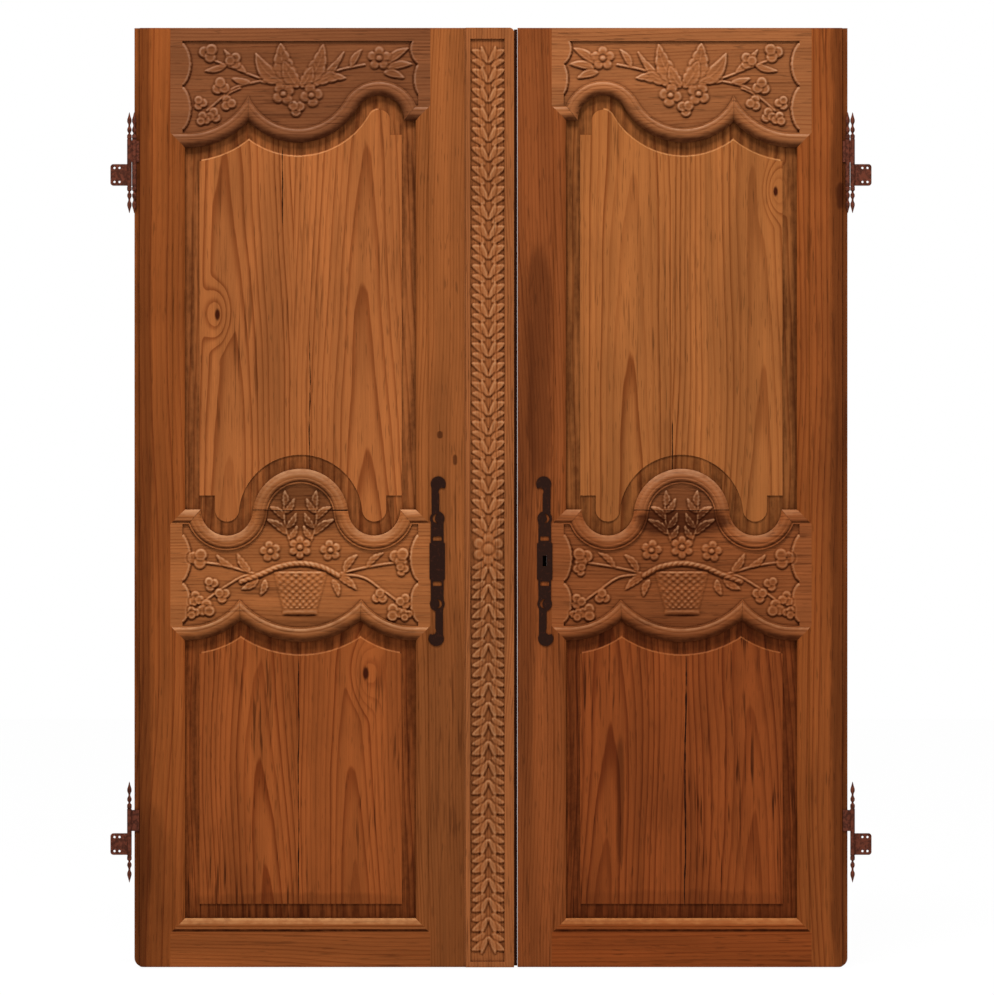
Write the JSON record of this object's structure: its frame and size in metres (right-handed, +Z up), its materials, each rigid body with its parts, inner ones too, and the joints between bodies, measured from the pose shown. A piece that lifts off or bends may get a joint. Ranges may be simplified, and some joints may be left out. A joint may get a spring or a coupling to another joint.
{
  "type": "pair of carved panelled armoire doors",
  "caption": "Pair of carved, panelled wooden armoire doors with serpentine mouldings, a garlanded meeting strip, turned iron hinges and pierced lock plates",
  "frame": {"origin": "centre of the screw holes on the fixing face of the lower left jamb hinge plate", "axes": "X along the doors to the right, Y from the front into the cupboard, Z up"},
  "size_m": [1.5172, 0.0355, 1.872],
  "materials": {
    "frame_wood": "waxed old pine",
    "panel_wood": "waxed old pine",
    "dark_iron": "dark worn iron"
  },
  "bodies": {
    "hinge_plates": {"left_upper_hinge_jamb_half": "dark_iron", "left_lower_hinge_jamb_half": "dark_iron", "right_upper_hinge_jamb_half": "dark_iron", "right_lower_hinge_jamb_half": "dark_iron"},
    "left_leaf": {"left_hanging_stile": "frame_wood", "left_meeting_stile": "frame_wood", "left_top_rail": "frame_wood", "left_middle_rail": "frame_wood", "left_middle_rail_crest": "frame_wood", "left_bottom_rail": "frame_wood", "left_upper_panel": "panel_wood", "left_lower_panel": "panel_wood", "left_lock_plate": "dark_iron", "left_upper_hinge_leaf_half": "dark_iron", "left_lower_hinge_leaf_half": "dark_iron", "left_carved_strip": "frame_wood"},
    "right_leaf": {"right_hanging_stile": "frame_wood", "right_meeting_stile": "frame_wood", "right_top_rail": "frame_wood", "right_middle_rail": "frame_wood", "right_middle_rail_crest": "frame_wood", "right_bottom_rail": "frame_wood", "right_upper_panel": "panel_wood", "right_lower_panel": "panel_wood", "right_lock_plate": "dark_iron", "right_upper_hinge_leaf_half": "dark_iron", "right_lower_hinge_leaf_half": "dark_iron"}
  },
  "joints": [
    {"name": "left_leaf_swing", "type": "hinge", "parent": "hinge_plates", "child": "left_leaf", "pos_m": [0.025, -0.0046, 0.0229], "axis": [0, 0, -1], "range_deg": [0, 135]},
    {"name": "right_leaf_swing", "type": "hinge", "parent": "hinge_plates", "child": "right_leaf", "pos_m": [1.4662, -0.0046, 0.0229], "axis": [0, 0, 1], "range_deg": [0, 135]}
  ]
}
